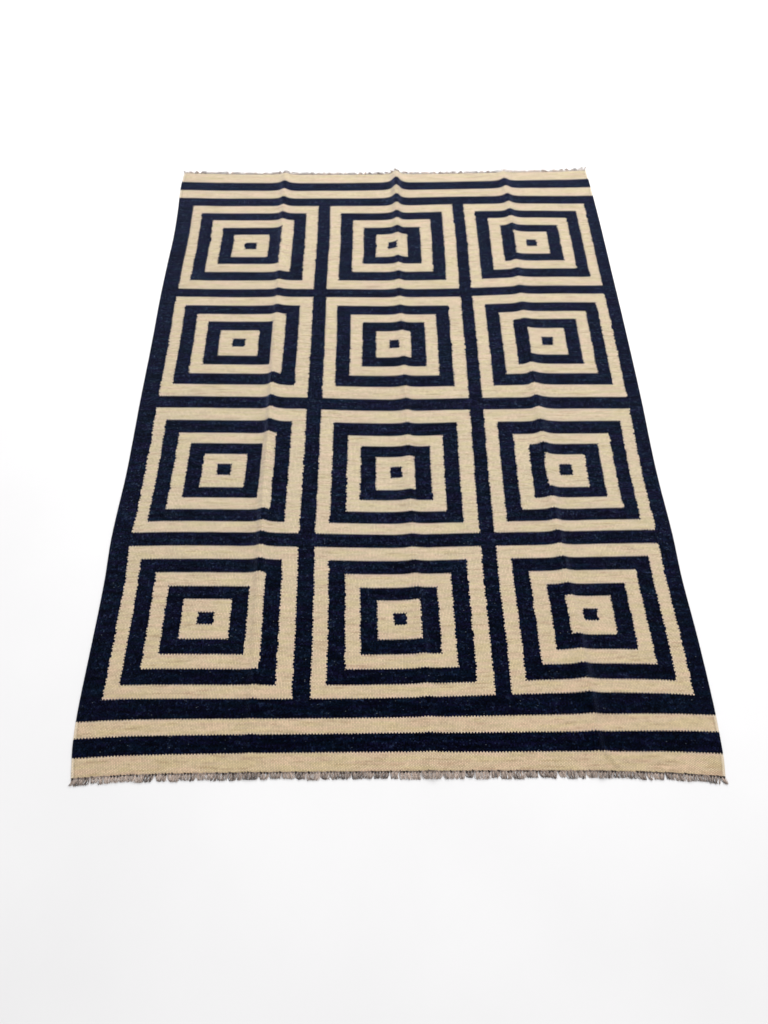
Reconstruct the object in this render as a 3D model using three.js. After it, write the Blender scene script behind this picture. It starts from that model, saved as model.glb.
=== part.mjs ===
// A kilim rug: a flat-woven wool cloth lying on the floor, with the warp ends at each end tied in a row of
// small knots and cut to a short fringe. Millimetres, +Z up. +X runs across the rug and +Y along it, towards
// the far end. The floor is z = 0, and the origin is the middle of the rug on the floor.
import * as THREE from "three";
import { mergeVertices } from "three/addons/utils/BufferGeometryUtils.js";

// Cloth
const CLOTH_THICKNESS = 3;
const ROWS_ALONG = 30;
const STEPS_BETWEEN_RIDGES = 4;

// Side edges, uneven as woven: the x of each selvedge at stations along the rug
const SIDES = [
  { y: -1250, left: -853, right: 853 },
  { y: -1160, left: -859, right: 862 },
  { y: -1060, left: -864, right: 865 },
  { y: -800, left: -860, right: 863 },
  { y: -540, left: -863, right: 861 },
  { y: -300, left: -855, right: 856 },
  { y: 0, left: -854, right: 859 },
  { y: 280, left: -853, right: 861 },
  { y: 500, left: -854, right: 861 },
  { y: 670, left: -850, right: 859 },
  { y: 840, left: -845, right: 860 },
  { y: 1000, left: -848, right: 857 },
  { y: 1150, left: -855, right: 850 },
  { y: 1250, left: -850, right: 846 },
];

// End edges, where the last weft lies: the y of each end at stations across the rug
const ENDS = [
  { x: -856, near: -1246, far: 1244 },
  { x: -700, near: -1238, far: 1237 },
  { x: -450, near: -1235, far: 1233 },
  { x: -100, near: -1235, far: 1232 },
  { x: 200, near: -1236, far: 1236 },
  { x: 450, near: -1238, far: 1242 },
  { x: 650, near: -1243, far: 1248 },
  { x: 760, near: -1249, far: 1252 },
  { x: 856, near: -1257, far: 1259 },
];

// Storage creases: soft ridges that run the length of the rug and lift off the floor. Each row is a section:
// the crest's x, its height, and how far the ridge spreads to the left and to the right of the crest.
const RIDGES = [
  [
    { y: -1250, crest: -390, height: 5, left: 40, right: 40 },
    { y: -1000, crest: -393, height: 8, left: 42, right: 38 },
    { y: -560, crest: -403, height: 14, left: 46, right: 44 },
    { y: 0, crest: -408, height: 16, left: 36, right: 52 },
    { y: 500, crest: -415, height: 9, left: 34, right: 56 },
    { y: 960, crest: -421, height: 11, left: 40, right: 46 },
    { y: 1250, crest: -424, height: 14, left: 50, right: 48 },
  ],
  [
    { y: -1250, crest: 92, height: 7, left: 64, right: 50 },
    { y: -1000, crest: 84, height: 9, left: 62, right: 48 },
    { y: -540, crest: 60, height: 9, left: 56, right: 40 },
    { y: 0, crest: 54, height: 10, left: 50, right: 36 },
    { y: 540, crest: 42, height: 9, left: 46, right: 36 },
    { y: 960, crest: 40, height: 15, left: 50, right: 44 },
    { y: 1250, crest: 40, height: 28, left: 54, right: 56 },
  ],
  [
    { y: -1250, crest: 536, height: 6, left: 60, right: 34 },
    { y: -1020, crest: 532, height: 17, left: 70, right: 32 },
    { y: -540, crest: 508, height: 14, left: 50, right: 40 },
    { y: 0, crest: 497, height: 15, left: 38, right: 74 },
    { y: 500, crest: 494, height: 8, left: 40, right: 76 },
    { y: 960, crest: 501, height: 13, left: 42, right: 60 },
    { y: 1250, crest: 501, height: 14, left: 46, right: 54 },
  ],
];
// A ridge's section: a rounded crest on a low tent, sampled closer together near the crest
const CREST_SHARE = 0.65;
const CREST_WIDTH = 0.29;
const SECTION_STEPS = [-1, -0.7, -0.45, -0.28, -0.14, 0, 0.14, 0.28, 0.45, 0.7, 1];
const COLUMN_STEPS = RIDGES.length * (SECTION_STEPS.length - 1) + (RIDGES.length + 1) * STEPS_BETWEEN_RIDGES;

// Fringe: a lock is the bundle of warp ends of two neighbouring knots
const LOCK_PITCH = 16.5;
const LOCK_SHARE = 0.76;
const LOCK_SHARE_SPREAD = 0.14;
const LOCK_STEPS = 2;
const LOCK_TIP_THICKNESS = 1.4;
const LOCK_DROOP = 7;
const TIP_SHARE = 0.72;
const LEAN_SPREAD = 2;
const CORNER_FLARE = 7;
const CORNER_REACH = 60;
const END_MARGIN = 3;
const PART_GAP = 0.4;
const KNOT_DEPTH = 5;
const KNOT_HEIGHT = 3.4;
const FRINGES = {
  near: { away: -1, length: 16.5, spread: 3, seed: 11 },
  far: { away: 1, length: 12, spread: 3, seed: 29 },
};

// Value of a column at a station of a table, read along a smooth curve through its rows
function readTable(rows, key, at, column) {
  const last = rows.length - 1;
  const station = THREE.MathUtils.clamp(at, rows[0][key], rows[last][key]);
  const next = Math.max(1, rows.findIndex((row) => row[key] >= station));
  const slope = (i, j) => (rows[j][column] - rows[i][column]) / (rows[j][key] - rows[i][key]);
  const span = rows[next][key] - rows[next - 1][key];
  const t = (station - rows[next - 1][key]) / span;
  const before = slope(Math.max(0, next - 2), next) * span;
  const after = slope(next - 1, Math.min(last, next + 1)) * span;
  const rise = rows[next][column] - rows[next - 1][column];
  const bend = before * (1 - t) * (1 - t) * t - after * t * t * (1 - t);
  return rows[next - 1][column] + rise * t * t * (3 - 2 * t) + bend;
}

// Height of the cloth's underside over the floor at a place
function lift(x, y) {
  let height = 0;
  for (const ridge of RIDGES) {
    const offset = x - readTable(ridge, "y", y, "crest");
    const reach = readTable(ridge, "y", y, offset < 0 ? "left" : "right");
    const t = Math.abs(offset) / reach;
    if (t >= 1) continue;
    const crest = CREST_SHARE * Math.exp(-((t / CREST_WIDTH) ** 2));
    height += readTable(ridge, "y", y, "height") * (crest + (1 - CREST_SHARE) * (1 - t));
  }
  return height;
}

// X of each column of the cloth's grid at a station along the rug: close together across a ridge, and wide
// apart on the flat
function columnsAt(y) {
  const columns = [readTable(SIDES, "y", y, "left")];
  const runTo = (x) => {
    const from = columns[columns.length - 1];
    for (let i = 1; i <= STEPS_BETWEEN_RIDGES; i += 1) {
      columns.push(THREE.MathUtils.lerp(from, x, i / STEPS_BETWEEN_RIDGES));
    }
  };
  for (const ridge of RIDGES) {
    const crest = readTable(ridge, "y", y, "crest");
    const left = readTable(ridge, "y", y, "left");
    const right = readTable(ridge, "y", y, "right");
    const section = SECTION_STEPS.map((step) => crest + step * (step < 0 ? left : right));
    runTo(section[0]);
    columns.push(...section.slice(1));
  }
  runTo(readTable(SIDES, "y", y, "right"));
  return columns;
}

// A box of unit size whose points are each moved to place(u, v, w), all from 0 to 1
function bentBox(steps, place) {
  const box = new THREE.BoxGeometry(1, 1, 1, ...steps);
  const points = box.attributes.position;
  for (let i = 0; i < points.count; i += 1) {
    const [x, y, z] = place(points.getX(i) + 0.5, points.getY(i) + 0.5, points.getZ(i) + 0.5);
    points.setXYZ(i, x, y, z);
  }
  box.deleteAttribute("normal");
  box.deleteAttribute("uv");
  return mergeVertices(box);
}

// A point of the cloth's underside, for a share of the way along the rug and a column counted from the left
function clothPoint(along, column) {
  const nominalEnd = SIDES[SIDES.length - 1].y;
  const x = columnsAt(THREE.MathUtils.lerp(-nominalEnd, nominalEnd, along))[column];
  const y = THREE.MathUtils.lerp(readTable(ENDS, "x", x, "near"), readTable(ENDS, "x", x, "far"), along);
  return { x, y, z: lift(x, y) };
}

function clothGeometry() {
  return bentBox([COLUMN_STEPS, ROWS_ALONG, 1], (u, v, w) => {
    const { x, y, z } = clothPoint(v, Math.round(u * COLUMN_STEPS));
    return [x, y, z + w * CLOTH_THICKNESS];
  });
}

// A repeatable stream of numbers between -1 and 1, for the unevenness of handwork
function unevenness(seed) {
  let state = seed;
  return () => {
    state = (state * 16807) % 2147483647;
    return (state / 2147483647) * 2 - 1;
  };
}

// A value at x along a line of points in order of x
function readLine(points, x, key) {
  const next = THREE.MathUtils.clamp(points.findIndex((point) => point.x >= x), 1, points.length - 1);
  const [from, to] = [points[next - 1], points[next]];
  return THREE.MathUtils.mapLinear(x, from.x, to.x, from[key], to[key]);
}

// The locks of one end, in order of x: where each leaves the row of knots, and how far it runs and leans
function makeLocks(edge, { length, spread, seed }) {
  const uneven = unevenness(seed);
  const from = edge[0].x + END_MARGIN;
  const to = edge[edge.length - 1].x - END_MARGIN;
  const count = Math.round((to - from) / LOCK_PITCH);
  const pitch = (to - from) / count;
  return Array.from({ length: count }, (_, i) => {
    const middle = from + (i + 0.5) * pitch;
    const toCorner = Math.min(middle - from, to - middle);
    const flare = CORNER_FLARE * Math.max(0, 1 - toCorner / CORNER_REACH) * Math.sign(middle);
    const width = pitch * (LOCK_SHARE + LOCK_SHARE_SPREAD * uneven());
    const shift = 0.3 * (pitch - width) * uneven();
    return {
      left: middle + shift - width / 2,
      right: middle + shift + width / 2,
      length: length + spread * uneven(),
      lean: flare + LEAN_SPREAD * uneven(),
    };
  });
}

// A closed skin built from points and four-sided faces
class Skin {
  // Faces are listed anticlockwise as seen from outside, or clockwise where the shape is a mirrored one
  constructor(isMirrored) {
    this.isMirrored = isMirrored;
    this.points = [];
    this.triangles = [];
  }

  addPoint(x, y, z) {
    return this.points.push(x, y, z) / 3 - 1;
  }

  addQuad(a, b, c, d) {
    this.triangles.push(...(this.isMirrored ? [a, c, b, a, d, c] : [a, b, c, a, c, d]));
  }

  // The four sides between one ring of four points and the next
  addSleeve(from, to) {
    for (let side = 0; side < from.length; side += 1) {
      const next = (side + 1) % from.length;
      this.addQuad(from[side], from[next], to[next], to[side]);
    }
  }

  toGeometry() {
    return new THREE.BufferGeometry()
      .setAttribute("position", new THREE.Float32BufferAttribute(this.points, 3))
      .setIndex(this.triangles);
  }
}

// A section of the row of knots, which follows the cloth's edge up and over each ridge
function knotSection(skin, edge, away, x) {
  const inner = readLine(edge, x, "y") + away * PART_GAP;
  const outer = inner + away * KNOT_DEPTH;
  const foot = readLine(edge, x, "z");
  const top = foot + KNOT_HEIGHT;
  return {
    x,
    outer,
    foot,
    outerFoot: skin.addPoint(x, outer, foot),
    outerTop: skin.addPoint(x, outer, top),
    innerFoot: skin.addPoint(x, inner, foot),
    innerTop: skin.addPoint(x, inner, top),
  };
}

// A lock between two sections of the row of knots: level on the floor, or drooping where a ridge lifts it
function addLock(skin, away, from, to, { length, lean }) {
  let ring = [from.outerFoot, from.outerTop, to.outerTop, to.outerFoot];
  for (let step = 1; step <= LOCK_STEPS; step += 1) {
    const along = step / LOCK_STEPS;
    const middle = (from.x + to.x) / 2 + lean * along * along;
    const half = ((to.x - from.x) / 2) * THREE.MathUtils.lerp(1, TIP_SHARE, along * along);
    const thickness = THREE.MathUtils.lerp(KNOT_HEIGHT, LOCK_TIP_THICKNESS, along);
    const corner = (root, side, rise) =>
      skin.addPoint(
        middle + side * half,
        root.outer + away * length * along,
        Math.max(0, root.foot - LOCK_DROOP * along) + rise,
      );
    const left = [corner(from, -1, 0), corner(from, -1, thickness)];
    const further = [...left, corner(to, 1, thickness), corner(to, 1, 0)];
    skin.addSleeve(ring, further);
    ring = further;
  }
  skin.addQuad(...ring);
}

// One end's fringe as a single skin: the row of knots, with a lock at every second stretch of it
function fringeGeometry(end) {
  const { away } = FRINGES[end];
  const edge = Array.from({ length: COLUMN_STEPS + 1 }, (_, column) => clothPoint(away > 0 ? 1 : 0, column));
  const skin = new Skin(away < 0);
  const sectionAt = (x) => knotSection(skin, edge, away, x);
  let from = sectionAt(edge[0].x + END_MARGIN / 2);
  skin.addQuad(from.innerFoot, from.innerTop, from.outerTop, from.outerFoot);
  const runTo = (to, bundle) => {
    skin.addQuad(from.innerFoot, from.outerFoot, to.outerFoot, to.innerFoot);
    skin.addQuad(from.outerTop, from.innerTop, to.innerTop, to.outerTop);
    skin.addQuad(from.innerTop, from.innerFoot, to.innerFoot, to.innerTop);
    if (bundle) {
      addLock(skin, away, from, to, bundle);
    } else {
      skin.addQuad(from.outerFoot, from.outerTop, to.outerTop, to.outerFoot);
    }
    from = to;
  };
  for (const bundle of makeLocks(edge, FRINGES[end])) {
    runTo(sectionAt(bundle.left));
    runTo(sectionAt(bundle.right), bundle);
  }
  runTo(sectionAt(edge[COLUMN_STEPS].x - END_MARGIN / 2));
  skin.addQuad(from.outerFoot, from.outerTop, from.innerTop, from.innerFoot);
  return skin.toGeometry();
}

function piece(name, geometry, colour) {
  const material = new THREE.MeshStandardMaterial({ color: colour, roughness: 0.95, metalness: 0 });
  const mesh = new THREE.Mesh(geometry, material);
  mesh.name = name;
  return mesh;
}

const rug = new THREE.Group();
rug.add(piece("rug_cloth", clothGeometry(), 0x7d715f));
rug.add(piece("fringe_near", fringeGeometry("near"), 0x8f7f6e));
rug.add(piece("fringe_far", fringeGeometry("far"), 0x8f7f6e));

export default rug;
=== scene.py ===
"""A flat-woven kilim rug on a pale floor, dressed for its picture.

The cloth is laid out the way it is woven: each point of it knows which warp and which pick of weft it lies on, so
a colour changes between two yarns, as it does on the loom. Tables are in millimetres and in counts of yarn, and the
meshes are in metres, +Z up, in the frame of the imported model.
"""

import logging
import math
from dataclasses import dataclass, field
from enum import Enum
from typing import Callable, NamedTuple, Sequence

import bpy
import numpy as np
from mathutils import Matrix, Vector


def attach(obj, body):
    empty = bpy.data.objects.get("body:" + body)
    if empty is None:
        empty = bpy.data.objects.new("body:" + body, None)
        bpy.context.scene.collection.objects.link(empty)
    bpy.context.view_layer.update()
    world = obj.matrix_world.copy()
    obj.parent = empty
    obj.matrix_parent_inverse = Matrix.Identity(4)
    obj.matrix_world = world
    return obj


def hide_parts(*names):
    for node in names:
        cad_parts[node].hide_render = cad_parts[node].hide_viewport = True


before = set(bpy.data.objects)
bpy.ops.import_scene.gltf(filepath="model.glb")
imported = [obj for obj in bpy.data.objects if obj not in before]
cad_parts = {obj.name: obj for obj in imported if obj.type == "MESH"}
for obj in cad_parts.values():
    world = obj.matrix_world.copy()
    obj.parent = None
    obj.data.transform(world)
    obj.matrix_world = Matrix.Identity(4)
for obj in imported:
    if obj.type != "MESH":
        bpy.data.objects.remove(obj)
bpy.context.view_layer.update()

MM = 0.001
BODY = "root"
FLOOR_NAME = "studio_floor"
BAKE_MAP = "OFBake"
WEAVE_LAYER = "weave"
CHART_LAYER = "chart"
FLAT_SIZE = (1.725, 2.485)
OFF_FLOOR = (-10.0, -10.0, 0.0002)  # the lowest that a knot's points may lie, anywhere on the floor
log = logging.getLogger("kilim")

Pair = tuple[float, float]
Triple = tuple[float, float, float]


# How the cloth lies on the floor


class End(Enum):
    """The two ends of the rug, with the way along the rug that leads off each of them."""

    NEAR = -1
    FAR = 1


class Hand(Enum):
    """The two selvedges, with the way across the rug that leads off each of them."""

    LEFT = -1
    RIGHT = 1


class SideStation(NamedTuple):
    """Where the two selvedges lie at a place along the rug, in mm."""

    y: float
    left: float
    right: float


class EndStation(NamedTuple):
    """Where the first and the last pick lie at a place across the rug, in mm."""

    x: float
    near: float
    far: float


class RidgeStation(NamedTuple):
    """A storage crease's section at a place along the rug: its crest, its height and its reach each way, in mm."""

    y: float
    crest: float
    height: float
    left: float
    right: float


class Wrinkle(NamedTuple):
    """A slight fold in the cloth, from one place to another, in mm."""

    from_x: float
    from_y: float
    to_x: float
    to_y: float
    height: float
    width: float


SIDES = [
    SideStation(*row)
    for row in (
        (-1250, -845, 850), (-1200, -853, 859), (-1150, -860, 863), (-1060, -864, 866), (-880, -861, 865),
        (-690, -859, 859), (-540, -863, 861), (-300, -855, 856), (0, -855, 861), (280, -853, 862), (500, -854, 861),
        (670, -851, 860), (840, -847, 859), (1000, -850, 857), (1150, -856, 853), (1250, -851, 847),
    )
]
ENDS = [
    EndStation(*row)
    for row in (
        (-856, -1246, 1244), (-700, -1238, 1237), (-450, -1235, 1233), (-100, -1235, 1232), (200, -1236, 1236),
        (450, -1238, 1242), (650, -1243, 1248), (760, -1249, 1252), (856, -1257, 1259),
    )
]
RIDGES = [
    [RidgeStation(*row) for row in ridge]
    for ridge in (
        (
            (-1250, -390, 5, 40, 40), (-1000, -393, 8, 42, 38), (-560, -403, 14, 46, 44), (0, -408, 16, 36, 52),
            (500, -415, 9, 34, 56), (960, -421, 11, 40, 46), (1190, -424, 14, 58, 56), (1250, -424, 8, 58, 56),
        ),
        (
            (-1250, 92, 7, 64, 50), (-1000, 84, 9, 62, 48), (-540, 60, 9, 56, 40), (0, 54, 10, 50, 36),
            (540, 42, 9, 46, 36), (960, 40, 15, 50, 44), (1180, 40, 29, 54, 56), (1250, 40, 14, 54, 56),
        ),
        (
            (-1250, 532, 6, 60, 44), (-1020, 528, 14, 68, 50), (-800, 518, 13, 60, 52), (-540, 506, 13, 50, 46),
            (0, 497, 15, 38, 74), (500, 494, 8, 40, 76), (960, 499, 13, 42, 60), (1180, 495, 14, 46, 54),
            (1250, 495, 7, 46, 54),
        ),
    )
]
WRINKLES = [
    Wrinkle(*row)
    for row in (
        (-810, -298, -570, -294, 1.3, 9), (130, -302, 350, -282, 1.2, 9), (-450, -72, -280, -18, 1.4, 12),
        (-200, 36, 40, 28, 1.1, 11), (-50, -412, 60, -402, 1.3, 10), (548, -1190, 577, -1226, 5.8, 3.6),
        (330, -380, 470, -430, 0.9, 10),
    )
]


def read_smoothly(stations: Sequence[float], values: Sequence[float], at: np.ndarray) -> np.ndarray:
    """Reads a column of a table along a smooth curve through its rows.

    Args:
        stations: The places of the rows, rising.
        values: The column's value at each of them.
        at: The places to read. Past the last row, that row holds.

    Returns:
        The value at each place.
    """
    places, rows = np.asarray(stations, float), np.asarray(values, float)
    at = np.clip(np.asarray(at, float), places[0], places[-1])
    last = len(places) - 1
    after = np.clip(np.searchsorted(places, at), 1, last)
    before = after - 1
    first, final = np.maximum(0, after - 2), np.minimum(last, after + 1)
    span = places[after] - places[before]
    t = (at - places[before]) / span
    slope_in = (rows[after] - rows[first]) / (places[after] - places[first]) * span
    slope_out = (rows[final] - rows[before]) / (places[final] - places[before]) * span
    rise = (rows[after] - rows[before]) * t * t * (3 - 2 * t)
    return rows[before] + rise + slope_in * (1 - t) ** 2 * t - slope_out * t * t * (1 - t)


@dataclass(frozen=True)
class Lie:
    """How the cloth lies on the floor: its uneven outline, its storage creases and its slight wrinkles."""

    crest_share: float = 0.65
    crest_width: float = 0.29
    unevenness: float = 0.35

    def selvedge(self, hand: Hand, y: np.ndarray) -> np.ndarray:
        """The x of a selvedge, in mm, at places along the rug."""
        return read_smoothly([s.y for s in SIDES], [getattr(s, hand.name.lower()) for s in SIDES], y)

    def end(self, end: End, x: np.ndarray) -> np.ndarray:
        """The y of an end, in mm, at places across the rug."""
        return read_smoothly([s.x for s in ENDS], [getattr(s, end.name.lower()) for s in ENDS], x)

    def ridges(self, x: np.ndarray, y: np.ndarray) -> np.ndarray:
        """Works out how high the storage creases lift the underside off the floor, in mm.

        Args:
            x: Places across the rug, in mm.
            y: Places along it.

        Returns:
            The height at each place.
        """
        height = np.zeros(np.broadcast(x, y).shape)
        for ridge in RIDGES:
            stations = [s.y for s in ridge]
            crest, top, left, right = (
                read_smoothly(stations, [getattr(s, name) for s in ridge], y)
                for name in ("crest", "height", "left", "right")
            )
            away = np.abs(x - crest) / np.where(x < crest, left, right)
            section = self.crest_share * np.exp(-((away / self.crest_width) ** 2))
            section = section + (1 - self.crest_share) * (1 - away)
            height = height + np.where(away < 1, top * section, 0)
        return height

    def wrinkles(self, x: np.ndarray, y: np.ndarray) -> np.ndarray:
        """Works out how high the slight wrinkles and the cloth's own unevenness lift it, in mm.

        Args:
            x: Places across the rug, in mm.
            y: Places along it.

        Returns:
            The height at each place.
        """
        height = np.zeros(np.broadcast(x, y).shape)
        for w in WRINKLES:
            run = np.array([w.to_x - w.from_x, w.to_y - w.from_y])
            length = float(np.hypot(*run))
            along = ((x - w.from_x) * run[0] + (y - w.from_y) * run[1]) / length
            aside = ((x - w.from_x) * run[1] - (y - w.from_y) * run[0]) / length
            past = np.maximum(0, np.maximum(-along, along - length))
            height = height + w.height * np.exp(-((aside / w.width) ** 2) - (past / (2 * w.width)) ** 2)
        waves = np.sin(x / 41 + 1.3 * np.sin(y / 97)) * np.sin(y / 63 + 0.9 * np.sin(x / 118))
        return height + self.unevenness * (1 + waves)

    def height(self, x: np.ndarray, y: np.ndarray) -> np.ndarray:
        """The height of the cloth's underside over the floor, in mm."""
        return self.ridges(x, y) + self.wrinkles(x, y)


# The weaver's chart, in counts of yarn

SIDE_BORDERS = (15, 11)
MOTIF_COLUMNS = (
    (9, 12, 10, 12, 11, 11, 11, 12, 11, 12, 11),
    (10, 12, 10, 12, 11, 9, 10, 13, 10, 12, 11),
    (10, 12, 11, 12, 11, 10, 11, 12, 10, 11, 9),
)
COLUMN_GUTTERS = (12, 11)
NEAR_STRIPES = (25, 26, 22)
END_BORDERS = (29, 25)
MOTIF_ROWS = (
    (19, 23, 21, 23, 22, 19, 20, 21, 22, 23, 22),
    (19, 22, 21, 20, 23, 22, 19, 22, 21, 27, 26),
    (27, 26, 21, 22, 22, 20, 21, 23, 19, 23, 22),
    (23, 24, 22, 20, 22, 19, 23, 21, 22, 22, 22),
)
ROW_GUTTERS = (24, 26, 22)
FAR_STRIPES = (25, 26, 27)

# How far a pick lies from its even place, in mm towards the far end: one row a pick, one column a place across
BOW_PLACES = (-850, -600, -300, 0, 250, 560, 850)
BOW = {
    0: (0, 0, 0, 0, 0, 0, 0),
    25: (1, 0, 0, 0.5, -1, 1, 8),
    62: (1, -1.5, -3, -2, -0.5, 4, 15),
    102: (3, -2, -6.5, -6, 0, 8, 10),
    349: (10, 7.5, 1, -6.5, -2.5, 2, 13),
    616: (15.5, 11.5, 5, -6, -3, -2.5, -2),
    886: (1, -2.5, -1, -5, -4.5, 4, 0.5),
    1150: (-3.5, -1.5, 0.5, 0.5, 5, 2, -10),
    1200: (-5, -3, -3, 0, 0, 1.5, -4.5),
    1240: (0, 0, 0, 0, 0, 0, 0),
}


Counts = Sequence[int]


def bands(motifs: Sequence[Counts], gutters: Counts, before: Counts, after: Counts) -> np.ndarray:
    """The counts at which one band of a chart ends and the next begins.

    Args:
        motifs: The bands of each nested square, in order.
        gutters: The plain band between each square and the next.
        before: The bands before the first square.
        after: The bands after the last one.

    Returns:
        The counts, rising, from 0 at one edge of the cloth.
    """
    counts = [*before, *motifs[0]]
    for gutter, motif in zip(gutters, motifs[1:], strict=True):
        counts += [gutter, *motif]
    return np.concatenate([[0], np.cumsum([*counts, *after])])


COLUMN_EDGES = bands(MOTIF_COLUMNS, COLUMN_GUTTERS, SIDE_BORDERS[:1], SIDE_BORDERS[1:])
ROW_EDGES = bands(MOTIF_ROWS, ROW_GUTTERS, (*NEAR_STRIPES, END_BORDERS[0]), (END_BORDERS[1], *FAR_STRIPES))


@dataclass(frozen=True)
class Weave:
    """The cloth as a weave: where each warp and pick lies on the floor, and which band of the chart it belongs to."""

    lie: Lie
    warps: int = int(COLUMN_EDGES[-1])
    picks: int = int(ROW_EDGES[-1])
    samples: int = 1200
    chart_margin: float = 0.1

    def bow(self, pick: float, x: np.ndarray) -> np.ndarray:
        """Reads how far a pick lies towards the far end from its even place, in mm.

        Args:
            pick: The pick, counted from the near end.
            x: Places across the rug, in mm.

        Returns:
            How far it lies at each place.
        """
        columns = zip(*BOW.values(), strict=True)
        here = [float(read_smoothly(list(BOW), column, np.array(pick))) for column in columns]
        return read_smoothly(BOW_PLACES, here, x)

    def along(self, pick: float, x: np.ndarray) -> np.ndarray:
        """The y of a pick, in mm, at places across the rug."""
        near, far = self.lie.end(End.NEAR, x), self.lie.end(End.FAR, x)
        return near + (far - near) * pick / self.picks + self.bow(pick, x)

    def lay(self, warps: np.ndarray, pick: float) -> np.ndarray:
        """Lays one pick on the floor. The warps share its length evenly, measured over the ridges.

        Args:
            warps: The counts, from the left, at which points are wanted.
            pick: The pick, counted from the near end.

        Returns:
            One row for each count: x, y and the height of the underside, in mm.
        """
        level = self.along(pick, np.zeros(1))
        left, right = (float(self.lie.selvedge(hand, level)[0]) for hand in (Hand.LEFT, Hand.RIGHT))
        x = np.linspace(left, right, self.samples)
        y = self.along(pick, x)
        z = self.lie.height(x, y)
        length = np.concatenate([[0], np.cumsum(np.hypot(np.diff(x), np.diff(z)))])
        at = np.interp(np.clip(warps / self.warps, 0, 1) * length[-1], length, x)
        y = self.along(pick, at)
        return np.stack([at, y, self.lie.height(at, y)], axis=1)

    def attributes(self, warps: np.ndarray, picks: np.ndarray) -> dict[str, np.ndarray]:
        """What a finish needs to know at each point of the cloth.

        Args:
            warps: Each point's count from the left.
            picks: Each point's count from the near end.

        Returns:
            The count and the place on the chart, which is in bands and stays just inside the cloth's edges. Each
            has the way to the nearest change of colour as its third number: in warps, and in picks.
        """
        places, away = [], []
        for counts, edges in ((warps, COLUMN_EDGES), (picks, ROW_EDGES)):
            last = len(edges) - 1
            place = np.interp(counts, edges, np.arange(last + 1))
            places.append(np.clip(place, self.chart_margin, last - self.chart_margin))
            away.append(np.abs(counts[:, None] - edges[1:-1]).min(axis=1))
        return {
            WEAVE_LAYER: np.stack([warps, picks, away[0]], axis=1),
            CHART_LAYER: np.stack([*places, away[1]], axis=1),
        }


# Node trees

Socket = bpy.types.NodeSocket
WHITE = (1.0, 1.0, 1.0)


class Number:
    """A number that a node tree works out. OPERATIONS gives it the usual signs of arithmetic."""

    def __init__(self, graph: "Graph", socket: Socket) -> None:
        """Takes the tree, and the socket that carries the number."""
        self.graph, self.socket = graph, socket

    def wave(self, operation: str = "COSINE", half_turns: float = 1.0) -> "Number":
        """A wave that goes round half a turn, or a number of half turns, for each step of 1."""
        return self.graph.math(operation, self * (half_turns * math.pi))

    def remap(self, low: float, high: float, to_low: float = 0.0, to_high: float = 1.0) -> "Number":
        """Maps the number from one range to another, and holds it there."""
        inputs = {0: self, 1: low, 2: high, 3: to_low, 4: to_high}
        return Number(self.graph, self.graph.make("ShaderNodeMapRange", inputs, interpolation_type="LINEAR"))


def worked_out(operation: str, turned: bool = False) -> Callable[..., Number]:
    """Makes a method that works out another number from a number.

    Args:
        operation: Blender's name for what is worked out.
        turned: Whether the number comes after the other one.

    Returns:
        The method.
    """

    def method(number: Number, *others: object) -> Number:
        """Works out the other number."""
        return number.graph.math(operation, *((*others, number) if turned else (number, *others)))

    return method


OPERATIONS = {
    "__add__": "ADD",
    "__sub__": "SUBTRACT",
    "__mul__": "MULTIPLY",
    "__truediv__": "DIVIDE",
    "__mod__": "FLOORED_MODULO",
    "__pow__": "POWER",
    "__lt__": "LESS_THAN",
    "__gt__": "GREATER_THAN",
    "__abs__": "ABSOLUTE",
    "__floor__": "FLOOR",
    "__round__": "ROUND",
    "least": "MINIMUM",
    "most": "MAXIMUM",
    "sign": "SIGN",
}
for method_name, work in OPERATIONS.items():
    setattr(Number, method_name, worked_out(work))
setattr(Number, "__rsub__", worked_out("SUBTRACT", turned=True))


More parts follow.
